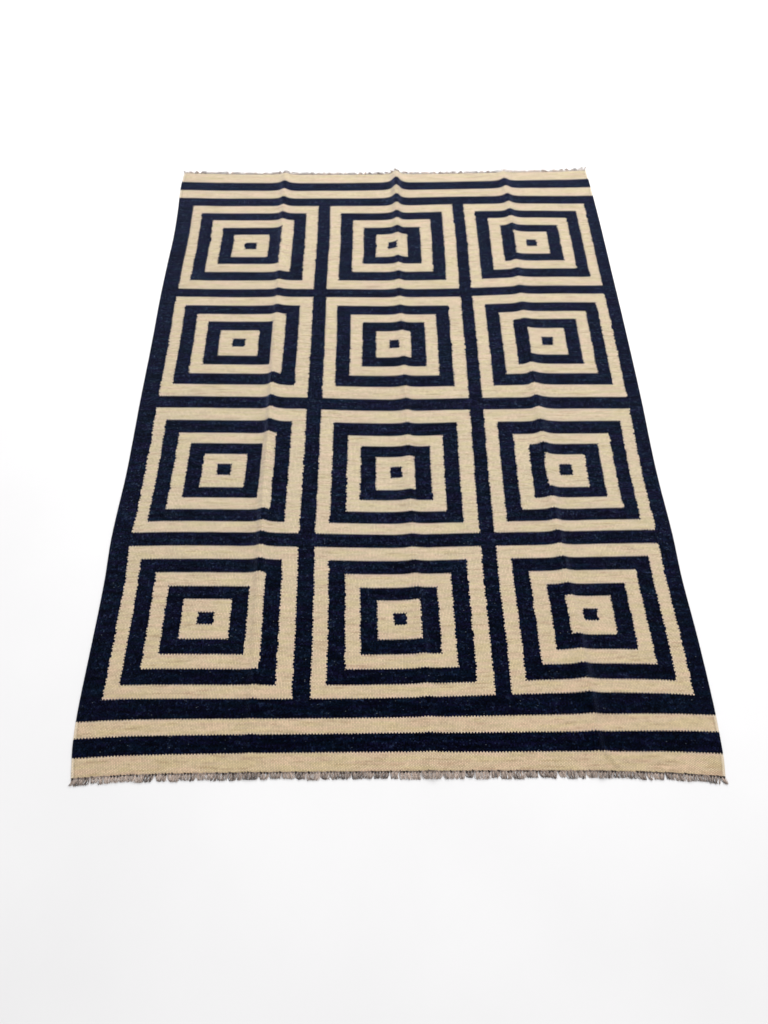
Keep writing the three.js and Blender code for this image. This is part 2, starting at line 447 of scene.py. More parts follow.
class Graph:
    """A node tree under construction, for a finish or for a piece that repeats."""

    def __init__(self, tree: bpy.types.NodeTree) -> None:
        """Starts from an empty tree."""
        self.tree = tree
        tree.nodes.clear()

    def node(self, kind: str, inputs: dict | None = None, **settings: object) -> bpy.types.Node:
        """Adds a node.

        Args:
            kind: Blender's name for the node's type.
            inputs: What feeds its inputs, by name or number: a socket to link, or a value to set.
            **settings: The node's own properties.

        Returns:
            The node.
        """
        node = self.tree.nodes.new(kind)
        for name, value in settings.items():
            setattr(node, name, value)
        for name, value in (inputs or {}).items():
            self.feed(node.inputs[name], value)
        return node

    def feed(self, socket: Socket, value: object) -> None:
        """Links a number or a socket to an input, or sets the input's value."""
        value = value.socket if isinstance(value, Number) else value
        if isinstance(value, Socket):
            self.tree.links.new(value, socket)
        else:
            socket.default_value = value

    def make(self, kind: str, inputs: dict | None = None, output: int | str = 0, **settings: object) -> Socket:
        """Adds a node, as `node` does, and gives one of its outputs."""
        return self.node(kind, inputs, **settings).outputs[output]

    def math(self, operation: str, *values: object) -> Number:
        """Works out a number from one or two others."""
        return Number(self, self.make("ShaderNodeMath", dict(enumerate(values)), operation=operation))

    def vector(self, operation: str, *values: object) -> Socket:
        """Works out a vector from two others."""
        return self.make("ShaderNodeVectorMath", dict(enumerate(values)), operation=operation)

    def length(self, vector: Socket) -> Number:
        """A vector's length."""
        return Number(self, self.make("ShaderNodeVectorMath", {0: vector}, "Value", operation="LENGTH"))

    def join(self, x: object = 0.0, y: object = 0.0, z: object = 0.0) -> Socket:
        """Makes a vector from three numbers."""
        return self.make("ShaderNodeCombineXYZ", {0: x, 1: y, 2: z})

    def split(self, vector: Socket) -> tuple[Number, ...]:
        """Takes a vector apart into its three numbers."""
        return tuple(Number(self, part) for part in self.node("ShaderNodeSeparateXYZ", {0: vector}).outputs)

    def noise(self, vector: Socket, scale: float = 1.0, detail: float = 2.0) -> Number:
        """Smooth noise, mostly from 0.2 to 0.8."""
        return Number(self, self.make("ShaderNodeTexNoise", {"Vector": vector, "Scale": scale, "Detail": detail}))

    def chance(self, *place: object) -> Number:
        """An even random number from 0 to 1 for each place."""
        return Number(self, self.make("ShaderNodeTexWhiteNoise", {"Vector": self.join(*place)}, "Value"))

    def blend(self, share: object, base: object, other: object, blend_type: str = "MIX") -> Socket:
        """Mixes a share of one colour into another."""
        inputs = {0: share, 6: opaque(base), 7: opaque(other)}
        return self.make("ShaderNodeMix", inputs, 2, data_type="RGBA", blend_type=blend_type)

    def tint(self, colour: object, by: object) -> Socket:
        """Multiplies a colour by another, or makes it lighter or darker by a number."""
        return self.blend(1.0, colour, self.join(by, by, by) if isinstance(by, Number) else by, "MULTIPLY")


def opaque(colour: object) -> object:
    """A colour with its alpha, or the socket that carries one."""
    return colour if isinstance(colour, Socket) else (*colour, 1.0)


class Finish:
    """What the finishes share: a material of one matt shader."""

    name: str

    def shader(self, g: Graph) -> dict:
        """Builds the finish in a tree, and gives the shader's inputs."""
        raise NotImplementedError

    def material(self) -> bpy.types.Material:
        """Builds the material."""
        material = bpy.data.materials.new(self.name)
        material.use_nodes = True
        g = Graph(material.node_tree)
        g.node("ShaderNodeOutputMaterial", {0: g.make("ShaderNodeBsdfPrincipled", self.shader(g))})
        return material


# Finishes


class Place(NamedTuple):
    """Where a point of the cloth lies: on its warp and pick, and on its bead of weft, from -0.5 to 0.5 each way."""

    warp: Number
    pick: Number
    bead_warp: Number
    bead_pick: Number
    across: Number
    along: Number


class Cell(NamedTuple):
    """What the chart says at a point: whether it is cream, how near the other dye is, and which stretch it is in."""

    is_cream: Number
    beside: Number
    stretch: Number


@dataclass(frozen=True)
class Wool:
    """The weft's wool in one of its two dyes, with the drift of shade from one length of yarn to the next.

    The spreads are shares of the shade. `first` is painted shade: a tint that darkens the near end of the rug.
    """

    base: Triple
    warm: Triple
    cool: Triple
    streak: Triple
    streak_share: float
    streak_size: Pair
    lot_spread: float
    bead_spread: float
    # painted shade: a tint that darkens the wool at the near end, fading out along the rug
    first: Triple
    fleck: Triple
    fleck_chance: float
    seed: float


CREAM = Wool(
    base=(0.655, 0.55, 0.384),
    warm=(0.68, 0.535, 0.388),
    cool=(0.645, 0.55, 0.35),
    streak=(0.42, 0.295, 0.185),
    streak_share=0.5,
    streak_size=(13.0, 0.61),
    lot_spread=0.08,
    bead_spread=0.10,
    # painted shade at the near end: the cream a little darker and warmer there
    first=(1.0, 0.93, 0.87),
    fleck=(0.24, 0.17, 0.11),
    fleck_chance=0.006,
    seed=0.0,
)
NAVY = Wool(
    base=(0.0029, 0.0048, 0.0156),
    warm=(0.0047, 0.0040, 0.0160),
    cool=(0.0024, 0.0068, 0.0142),
    streak=(0.023, 0.033, 0.060),
    streak_share=0.72,
    streak_size=(2.3, 1.5),
    lot_spread=0.75,
    bead_spread=0.85,
    # painted shade at the near end: the navy much darker there
    first=(0.33, 0.40, 0.51),
    fleck=(0.12, 0.14, 0.16),
    fleck_chance=0.018,
    seed=40.0,
)


@dataclass(frozen=True)
class WovenWool(Finish):
    """The cloth's finish: weft-faced plain weave, in beads of weft one warp wide and two picks deep.

    A colour that changes between two picks does so bead by bead, in a row of round teeth. One that changes along a
    warp does so by turns: the two wefts turn round one shared warp, first the one and then the other.
    """

    name: str = "woven_wool"
    cream: Wool = CREAM
    navy: Wool = NAVY
    tooth: Pair = (0.54, -0.11)
    tooth_wobble: float = 0.5
    turn: Pair = (0.18, -0.28)
    beads_a_turn: float = 1.25
    far_coarseness: float = 1.6
    turn_slip: float = 2.6
    missed_turns: float = 0.05
    wobble: float = 2.8
    wobble_picks: float = 14.0
    drift_reach: float = 1.7
    drift_picks: float = 70.0
    strands: float = 2.5
    strand_slant: float = 0.45
    strand_start: float = 0.4
    # painted shade between the strands and in the grooves between beads, and a painted highlight on each bead's crown
    strand_shade: float = 0.82
    groove_shade: float = 0.5
    crown: float = 1.06
    edge_swell: float = 0.8
    # how many picks from the near end the painted shade of `first` takes to fade out
    near_shade_picks: float = 420.0
    # a painted highlight on the cream beside a join with the navy: its tint, and how far it reaches in warps and in
    # picks
    join_highlight: Triple = (0.98, 1.0, 1.2)
    join_highlight_warps: float = 0.9
    join_highlight_picks: float = 2.2
    cord: Triple = (0.86, 0.755, 0.59)
    cord_warps: Pair = (2.0, 0.6)
    cord_share: float = 0.7
    fibres: Pair = (2.2, 5.5)
    fibre_shades: Pair = (0.88, 1.12)
    roughness: Pair = (0.80, 0.96)
    # painted shade in the groove beside the selvedge cord
    cord_groove_shade: float = 0.8
    hue_size: Pair = (22.0, 3.0)
    lot_size: Pair = (14.0, 2.3)
    fleck_size: Pair = (0.22, 0.48)
    relief: float = 0.0008
    sheen: float = 0.36
    sheen_roughness: float = 0.38
    sheen_tint: Triple = (0.42, 0.49, 0.85)
    shine: float = 0.0

    def shader(self, g: Graph) -> dict:
        """Weaves the chart in a tree.

        Args:
            g: The tree.

        Returns:
            The shader's inputs.
        """
        weave, chart = (
            g.split(g.make("ShaderNodeAttribute", None, "Vector", attribute_name=layer))
            for layer in (WEAVE_LAYER, CHART_LAYER)
        )
        warp, pick, aside = weave
        column, row, ahead = chart
        bead_warp = math.floor(warp)
        bead_pick, along = self._bead_at(pick, bead_warp)
        at = Place(warp, pick, bead_warp, bead_pick, warp - bead_warp - 0.5, along)
        cell = self._cell(g, at, (column, aside), (row, ahead))
        swell, strand = self._swell(at), self._strand(g, at)
        # Painted highlight: the cream turns lighter and bluer near a join with the navy.
        join_highlight = g.blend(cell.beside, WHITE, self.join_highlight)
        cream = g.tint(self._dye(g, self.cream, at, cell.stretch), join_highlight)
        colour = g.blend(cell.is_cream, self._dye(g, self.navy, at, cell.stretch), cream)

        half = float(COLUMN_EDGES[-1]) / 2
        inside = half - abs(warp - half)
        colour = g.blend(cell.is_cream * inside.remap(*self.cord_warps, 0.0, self.cord_share), colour, self.cord)
        # Painted shade in the grooves between beads and between a bead's strands, and a painted highlight on each
        # crown.
        colour = g.tint(colour, swell.remap(0.0, 0.8, self.groove_shade, self.crown))
        colour = g.tint(colour, strand.remap(0.0, 0.6, self.strand_shade, 1.0))
        # Painted shade in the groove on the inner side of the selvedge cord.
        colour = g.tint(colour, abs(inside - self.cord_warps[0]).remap(0.1, 0.9, self.cord_groove_shade, 1.0))

        fibre = g.noise(g.join(warp * self.fibres[0], pick * self.fibres[1]), 1.0, 3.0)
        relief = swell + (fibre * 0.2 + strand * 0.22)
        return {
            "Base Color": g.tint(colour, fibre.remap(0.25, 0.75, *self.fibre_shades)),
            "Roughness": fibre.remap(0.3, 0.7, *self.roughness),
            "Specular IOR Level": self.shine,
            "Sheen Weight": self.sheen,
            "Sheen Roughness": self.sheen_roughness,
            "Sheen Tint": opaque(self.sheen_tint),
            "Normal": g.make("ShaderNodeBump", {"Height": relief, "Distance": self.relief, "Strength": 0.9}),
        }

    @staticmethod
    def _bead_at(pick: Number, warp: Number) -> tuple[Number, Number]:
        """Finds the bead over a warp at a place along it: every other warp's beads are one pick further on.

        Args:
            pick: The place along the warp, in picks.
            warp: The warp's number.

        Returns:
            The bead's own pick, and the place along the bead from -0.5 to 0.5.
        """
        odd = warp % 2.0
        own = math.floor((pick + 0.5 - odd) * 0.5) * 2.0 + odd
        return own, (pick - own - 0.5) * 0.5

    @staticmethod
    def _reach(place: Number, bulge: Pair, coarse: Number) -> Number:
        """How far past a join a bead reaches: most at the middle of its round side."""
        return (place.wave() * bulge[0] + bulge[1] + 0.5) * coarse

    @staticmethod
    def _past(band: Number, away: Number) -> tuple[Number, Number]:
        """The nearest change of colour on the chart, and how far past it a point is."""
        join = round(band)
        return join, away * (band - join).sign()

    @staticmethod
    def _sides(join: Number, past: Number, edge: Number, reach: float) -> tuple[Number, ...]:
        """Sorts a point to its side of a join.

        Args:
            join: The join's number on the chart.
            past: How far past it the point is.
            edge: How far past its place the join itself has strayed.
            reach: How far from a join the painted highlight beside it reaches.

        Returns:
            The point's band, the band on the join's other side, and how near the join is, from 0 at reach to 1.
        """
        band = join - (past < edge)
        return band, join * 2.0 - 1.0 - band, abs(past - edge).remap(0.0, reach, 1.0, 0.0)

    def _across(self, g: Graph, at: Place, column: tuple[Number, Number], coarse: Number) -> tuple[Number, ...]:
        """Reads the chart across the rug, where two wefts turn round one shared warp.

        Args:
            g: The tree.
            at: The point.
            column: The place across the chart, in bands, and the way to the nearest change of colour, in warps.
            coarse: How coarse the turns are.

        Returns:
            The band, the one beyond the join, and how near the join is.
        """
        join, past = self._past(*column)
        change = round(at.warp - past)
        slow = g.noise(g.join(change * 0.37, at.pick / self.drift_picks), 1.0, 1.0)
        drift = round((slow - 0.5) * self.drift_reach)
        turn_pick, along_turn = self._bead_at(at.pick, change + drift - 1.0)
        slip = g.noise(g.join(change * 0.73, turn_pick / self.wobble_picks), 1.0, 1.0)
        rate = 0.5 / self.beads_a_turn
        slowing = (1.0 / self.far_coarseness - 1.0) * rate / (2.0 * float(ROW_EDGES[-1]))
        turn = math.floor(slip * self.turn_slip + turn_pick * (turn_pick * slowing + rate)) % 2.0
        missed = g.chance(change, turn_pick, 9.0) < self.missed_turns
        side = abs(turn - missed) * 2.0 - 1.0
        strays = g.noise(g.join(change * 1.7, turn_pick / self.wobble_picks), 1.0, 3.0)
        edge = drift - 0.5 + (strays - 0.5) * self.wobble + side * self._reach(along_turn, self.turn, coarse)
        return self._sides(join, past, edge, self.join_highlight_warps)

    def _along(self, g: Graph, at: Place, row: tuple[Number, Number], coarse: Number) -> tuple[Number, ...]:
        """Reads the chart along the rug, where beads of one colour stand like teeth on those of the other.

        Args:
            g: The tree.
            at: The point.
            row: The place along the chart, in bands, and the way to the nearest change of colour, in picks.
            coarse: How coarse the teeth are.

        Returns:
            The band, the one beyond the join, and how near the join is.
        """
        join, past = self._past(*row)
        change = round(at.pick - past)
        side = (at.bead_warp - (change - 1.0)) % 2.0 * -2.0 + 1.0
        pair = math.floor((at.bead_warp + change) * 0.5)
        wobble = (g.chance(pair, change, 6.0) - 0.5) * self.tooth_wobble
        edge = wobble + side * self._reach(at.across, self.tooth, coarse)
        return self._sides(join - float(len(NEAR_STRIPES)), past, edge, self.join_highlight_picks)

    def _cell(self, g: Graph, at: Place, column: tuple[Number, Number], row: tuple[Number, Number]) -> Cell:
        """Reads the chart at a point: nested squares in the field, and stripes at the ends.

        Args:
            g: The tree.
            at: The point.
            column: The place across the chart, in bands, and the way to the nearest change of colour, in warps.
            row: The place along the chart, in bands, and the way to the nearest change of colour, in picks.

        Returns:
            What the chart says there.
        """
        coarse = at.pick.remap(0.0, float(ROW_EDGES[-1]), 1.0, self.far_coarseness)
        across, over_side, near_side = self._across(g, at, column, coarse)
        along, over_end, near_end = self._along(g, at, row, coarse)
        period = float(len(MOTIF_ROWS[0]) + 1)
        within = [band % period for band in (across, along, over_side, over_end)]
        column_ring, row_ring, beside_ring, past_ring = (inside.least(period - inside) for inside in within)
        in_field = (along > -0.5) * (along < len(MOTIF_ROWS) * period + 0.5)
        in_stripes = 1.0 - in_field
        ring = column_ring.least(row_ring) * in_field
        side_join = (row_ring > column_ring.least(beside_ring)) * in_field
        end_join = (column_ring > row_ring.least(past_ring)).most(in_stripes)
        return Cell(
            is_cream=(ring + along * in_stripes) % 2.0,
            beside=(side_join * near_side).most(end_join * near_end),
            stretch=(column_ring < row_ring) * in_field * across * 3.7,
        )

    def _swell(self, at: Place) -> Number:
        """The height of the weft over its bead, from 0 in the grooves to 1 on the crown."""
        swell = at.across.wave() ** 0.45 * at.along.wave() ** 0.9
        half = float(COLUMN_EDGES[-1]) / 2
        return swell.most((abs(at.warp - half) > half + 0.45) * self.edge_swell)

    def _strand(self, g: Graph, at: Place) -> Number:
        """The loosely twisted strands of the weft as they cross a bead, from 0 between them to 1 on each."""
        start = g.chance(at.bead_pick, at.bead_warp, 2.0) * self.strand_start
        return abs((at.along * self.strands + (at.across * self.strand_slant + start)).wave())

    def _dye(self, g: Graph, wool: Wool, at: Place, stretch: Number) -> Socket:
        """Gives a wool its drift of shade along and between the picks.

        Args:
            g: The tree.
            wool: The dye.
            at: The point.
            stretch: A number for the stretch of weft, so that neighbouring stretches differ.

        Returns:
            The colour.
        """
        shot = math.floor(at.bead_pick * 0.5)

        def drift(warps: float, shots: float, step: float, detail: float) -> Number:
            """Noise that runs along the weft, a given number of warps and of pairs of picks from crest to crest."""
            return g.noise(g.join(at.warp / warps, shot / shots, stretch + (wool.seed + step)), 1.0, detail)

        hue = drift(*self.hue_size, 0.3, 2.0)
        colour = g.blend(hue.remap(0.50, 0.62), wool.base, wool.warm)
        colour = g.blend(hue.remap(0.50, 0.38), colour, wool.cool)
        streak = drift(*wool.streak_size, 11.4, 2.0).remap(0.55, 0.71, 0.0, wool.streak_share)
        colour = g.blend(streak, colour, wool.streak)
        # Painted shade: `first` darkens the wool at the near end, less and less over the first picks.
        colour = g.tint(colour, g.blend(at.pick.remap(0.0, self.near_shade_picks, 1.0, 0.0), WHITE, wool.first))
        lot = drift(*self.lot_size, 23.6, 3.0).remap(0.3, 0.7, 1.0 - wool.lot_spread, 1.0 + wool.lot_spread)
        toss = g.chance(at.bead_warp, at.bead_pick, wool.seed)
        own = toss.remap(0.0, 1.0, 1.0 - wool.bead_spread, 1.0 + wool.bead_spread)
        odd = g.chance(at.bead_pick, at.bead_warp, wool.seed + 7.0).remap(0.0, wool.fleck_chance, 1.0, 0.0) ** 3.0
        middle = g.length(g.join(at.across, at.along * 1.7))
        spot = odd * middle.remap(*self.fleck_size, 1.0, 0.0)
        return g.blend(spot, g.tint(g.tint(colour, lot), own), wool.fleck)


@dataclass(frozen=True)
class WarpYarn(Finish):
    """The warp's undyed grey-brown yarn, plied and a little fuzzy."""

    name: str
    light: Triple
    dark: Triple
    ply_length: float = 0.004
    ply_shade: float = 0.7
    tuft_scale: float = 90.0
    hair_scale: float = 1400.0
    hair_shades: Pair = (0.85, 1.12)
    roughness: Pair = (0.82, 0.96)
    shine: float = 0.2
    sheen: float = 0.15
    relief: float = 0.0002

    def shader(self, g: Graph) -> dict:
        """Plies the yarn in a tree.

        Args:
            g: The tree.

        Returns:
            The shader's inputs.
        """
        place = g.make("ShaderNodeTexCoord", None, "Object")
        run, turn, tone = g.split(g.make("ShaderNodeAttribute", None, "Vector", attribute_name="ply"))
        ply = abs((run / self.ply_length + turn).wave("SINE", 2.0))
        tuft, hair = g.noise(place, self.tuft_scale, 3.0), g.noise(place, self.hair_scale, 2.0)
        colour = g.blend((tone * 0.8 + tuft * 0.5).remap(0.22, 0.92), self.dark, self.light)
        colour = g.tint(colour, ply.remap(0.0, 0.6, self.ply_shade, 1.0))
        relief = ply + hair * 0.5
        return {
            "Base Color": g.tint(colour, hair.remap(0.3, 0.7, *self.hair_shades)),
            "Roughness": hair.remap(0.3, 0.7, *self.roughness),
            "Specular IOR Level": self.shine,
            "Sheen Weight": self.sheen,
            "Normal": g.make("ShaderNodeBump", {"Height": relief, "Distance": self.relief, "Strength": 0.7}),
        }


@dataclass(frozen=True)
class PaleFloor(Finish):
    """The plain painted floor."""

    name: str = "pale_floor"
    paint: Triple = (0.80, 0.795, 0.80)
    worn: Triple = (0.77, 0.765, 0.77)
    cloud_scale: float = 1.6
    grain_scale: float = 60.0
    roughness: Pair = (0.62, 0.78)
    shine: float = 0.3

    def shader(self, g: Graph) -> dict:
        """Paints the floor in a tree.

        Args:
            g: The tree.

        Returns:
            The shader's inputs.
        """
        place = g.make("ShaderNodeTexCoord", None, "Object")
        return {
            "Base Color": g.blend(g.noise(place, self.cloud_scale, 4.0).remap(0.35, 0.65), self.paint, self.worn),
            "Roughness": g.noise(place, self.grain_scale, 2.0).remap(0.3, 0.7, *self.roughness),
            "Specular IOR Level": self.shine,
        }


# Pieces


def add_layer(mesh: bpy.types.Mesh, name: str, vectors: np.ndarray) -> None:
    """Writes a vector for each point of a mesh, which the finishes read by name."""
    values = np.zeros((len(mesh.vertices), 3), np.float32)
    values[:, : vectors.shape[1]] = vectors
    mesh.attributes.new(name, "FLOAT_VECTOR", "POINT").data.foreach_set("vector", values.ravel())


def add_object(name: str, data: bpy.types.ID) -> bpy.types.Object:
    """Puts a mesh, a light or a camera in the scene, at the origin."""
    made = bpy.data.objects.new(name, data)
    bpy.context.scene.collection.objects.link(made)
    return made


@dataclass
class Cloth:
    """The woven cloth, selvedge to selvedge and end to end, as one closed sheet with rounded edges."""

    weave: Weave
    finish: WovenWool
    thickness: float = 3.0
    coarse_step: float = 2.8
    fine_step: float = 1.35
    row_step: float = 7.5
    fold_step: float = 2.5
    fold_picks: float = 51.0
    ridge_reach: float = 64.0
    rim_steps: int = 4
    rim_share: float = 0.9
    map_margin: float = 0.008
    name: str = "kilim_cloth"
    flat_size: Pair = FLAT_SIZE

    def warp_stations(self) -> np.ndarray:
        """Picks the counts across the rug at which the mesh has a column: close together wherever a ridge runs.

        Returns:
            The counts, rising.
        """
        left, right = (float(self.weave.lie.selvedge(hand, np.zeros(1))[0]) for hand in (Hand.LEFT, Hand.RIGHT))
        steps = []
        for middle in (COLUMN_EDGES[:-1] + COLUMN_EDGES[1:]) / 2:
            x = (middle / self.weave.warps - 0.5) * (right - left)
            crests = ([station.crest for station in ridge] for ridge in RIDGES)
            near = any(min(crest) - self.ridge_reach < x < max(crest) + self.ridge_reach for crest in crests)
            steps.append(self.fine_step if near else self.coarse_step)
        return self._stations(COLUMN_EDGES, steps)

    def pick_stations(self) -> np.ndarray:
        """The counts along the rug at which the mesh has a row, so that a row lies on every change of colour."""
        steps = [self.fold_step if stop <= self.fold_picks else self.row_step for stop in ROW_EDGES[1:]]
        return self._stations(ROW_EDGES, steps)

    @staticmethod
    def _stations(edges: np.ndarray, steps: Sequence[float]) -> np.ndarray:
        """Divides each band of the chart evenly.

        Args:
            edges: The counts at which the bands end.
            steps: About how far apart the divisions of each band are.

        Returns:
            The counts of the divisions, rising.
        """
        stations = [np.zeros(1)]
        for start, stop, step in zip(edges[:-1], edges[1:], steps, strict=True):
            stations.append(np.linspace(start, stop, max(2, round((stop - start) / step)) + 1)[1:])
        return np.concatenate(stations)

    def build(self) -> bpy.types.Object:
        """Builds the sheet and dresses it.

        Returns:
            The piece.
        """
        warps, picks = self.warp_stations(), self.pick_stations()
        rows, columns = len(picks), len(warps)
        under = np.stack([self.weave.lay(warps, pick) for pick in picks])
        normals = self._normals(under)
        over = under + normals * self.thickness
        counts = np.stack(np.broadcast_arrays(warps[None, :], picks[:, None]), axis=-1)
        ring = self._outline(rows, columns)
        outward = self._outward(ring, rows, columns)
        inset = self.thickness / 2
        for sheet in (under, over):
            sheet.reshape(-1, 3)[ring, :2] -= outward[:, :2] * inset * self.rim_share

        points = [over.reshape(-1, 3), under.reshape(-1, 3)]
        places = [counts.reshape(-1, 2)] * 2
        on_edge = [np.zeros(rows * columns)] * 2
        top, bottom = over.reshape(-1, 3)[ring], under.reshape(-1, 3)[ring]
        pitch = np.array(self.flat_size) / MM / (self.weave.warps, self.weave.picks)
        for step in range(1, self.rim_steps):
            turn = math.pi * step / self.rim_steps
            bulge = outward * inset * math.sin(turn)
            points.append((top + bottom) / 2 + (top - bottom) / 2 * math.cos(turn) + bulge)
            places.append(counts.reshape(-1, 2)[ring] + outward[:, :2] * inset * math.sin(turn) / pitch)
            on_edge.append(np.full(len(ring), math.sin(turn)))

        faces = self._faces(rows, columns, ring)
        mesh = bpy.data.meshes.new(self.name)
        mesh.from_pydata((np.concatenate(points) * MM).tolist(), [], faces)
        mesh.shade_smooth()
        place = np.concatenate(places)
        for layer, vectors in self.weave.attributes(place[:, 0], place[:, 1]).items():
            add_layer(mesh, layer, vectors)
        self._add_bake_map(mesh, place, np.concatenate(on_edge))
        mesh.materials.append(self.finish.material())
        mesh.validate()
        return add_object(self.name, mesh)

    @staticmethod
    def _normals(under: np.ndarray) -> np.ndarray:
        """The way up out of the cloth at each point of its grid."""
        normal = np.cross(np.gradient(under, axis=1), np.gradient(under, axis=0))
        return normal / np.linalg.norm(normal, axis=-1, keepdims=True)

    @staticmethod
    def _outline(rows: int, columns: int) -> np.ndarray:
        """The grid points round the edge, anticlockwise from the near left corner."""
        grid = np.arange(rows * columns).reshape(rows, columns)
        return np.concatenate([grid[0], grid[1:, -1], grid[-1, -2::-1], grid[-2:0:-1, 0]])

    @staticmethod
    def _outward(ring: np.ndarray, rows: int, columns: int) -> np.ndarray:
        """Finds the way off the cloth at each point of its outline.

        Args:
            ring: The grid points of the outline.
            rows: Rows of the grid.
            columns: Columns of the grid.

        Returns:
            A level vector of length 1 for each point.
        """
        ways = []
        for place, last in zip(np.divmod(ring, columns)[::-1], (columns - 1, rows - 1), strict=True):
            ways.append((place == last) * 1.0 - (place == 0))
        way = np.stack([*ways, np.zeros(len(ring))], axis=1)
        return way / np.linalg.norm(way, axis=1, keepdims=True)

    def _faces(self, rows: int, columns: int, ring: np.ndarray) -> list[tuple[int, ...]]:
        """The sheet's faces: its two sides, and the rim between them.

        Args:
            rows: Rows of the grid.
            columns: Columns of the grid.
            ring: The grid points of the outline.

        Returns:
            The corners of each face, anticlockwise from outside.
        """
        size = rows * columns
        start = (np.arange(rows - 1)[:, None] * columns + np.arange(columns - 1)[None, :]).ravel()
        over = np.stack([start, start + 1, start + columns + 1, start + columns], axis=1)
        faces = over.tolist() + (over[:, ::-1] + size).tolist()
        count = len(ring)
        layers = [ring] + [2 * size + step * count + np.arange(count) for step in range(self.rim_steps - 1)]
        layers.append(ring + size)
        for upper, lower in zip(layers[:-1], layers[1:], strict=True):
            band = np.stack([upper, lower, np.roll(lower, -1), np.roll(upper, -1)], axis=1)
            faces += band.tolist()
        return faces

    def _add_bake_map(self, mesh: bpy.types.Mesh, place: np.ndarray, on_edge: np.ndarray) -> None:
        """Lays the sheet out flat for the export, its two sides on the same ground and its rim in the margin.

        Args:
            mesh: The sheet.
            place: Each point's warp and pick.
            on_edge: How far round the rim each point is, from 0 on a side to 1 at the edge.
        """
        margin = self.map_margin
        share = np.clip(place / np.array([self.weave.warps, self.weave.picks]), 0, 1)
        flat = margin + (1 - 2 * margin) * share
        at_edge = np.abs(share - 0.5) > 0.4999
        off = np.sign(np.round(share - 0.5, 6)) * at_edge
        flat = flat + off * on_edge[:, None] * margin * 0.8
        corner = np.empty(len(mesh.loops), np.int32)
        mesh.loops.foreach_get("vertex_index", corner)
        mesh.uv_layers.new(name=BAKE_MAP).data.foreach_set("uv", flat[corner].astype(np.float32).ravel())


def grow(
    name: str, path: np.ndarray, layers: dict[str, np.ndarray], tree: bpy.types.NodeTree, sizes: dict
) -> bpy.types.Object:
    """Grows a repeating piece along a path with a node tree, and keeps the result as a plain mesh.

    Args:
        name: The piece's name.
        path: The path's points, in metres.
        layers: Vectors for each point of the path, by name.
        tree: The Geometry Nodes tree.
        sizes: The value of each of the tree's named inputs.

    Returns:
        The piece.
    """
    guide = bpy.data.meshes.new(name + "_path")
    guide.from_pydata(path.tolist(), [(i, i + 1) for i in range(len(path) - 1)], [])
    for layer, vectors in layers.items():
        add_layer(guide, layer, vectors)
    piece = add_object(name, guide)
    modifier = piece.modifiers.new("grow", "NODES")
    modifier.node_group = tree
    for item in tree.interface.items_tree:
        if item.item_type == "SOCKET" and item.in_out == "INPUT" and item.name in sizes:
            modifier[item.identifier] = sizes[item.name]
    depsgraph = bpy.context.evaluated_depsgraph_get()
    mesh = bpy.data.meshes.new_from_object(
        piece.evaluated_get(depsgraph), preserve_all_data_layers=True, depsgraph=depsgraph
    )
    piece.modifiers.remove(modifier)
    piece.data = mesh
    mesh.name = name
    bpy.data.meshes.remove(guide)
    return piece


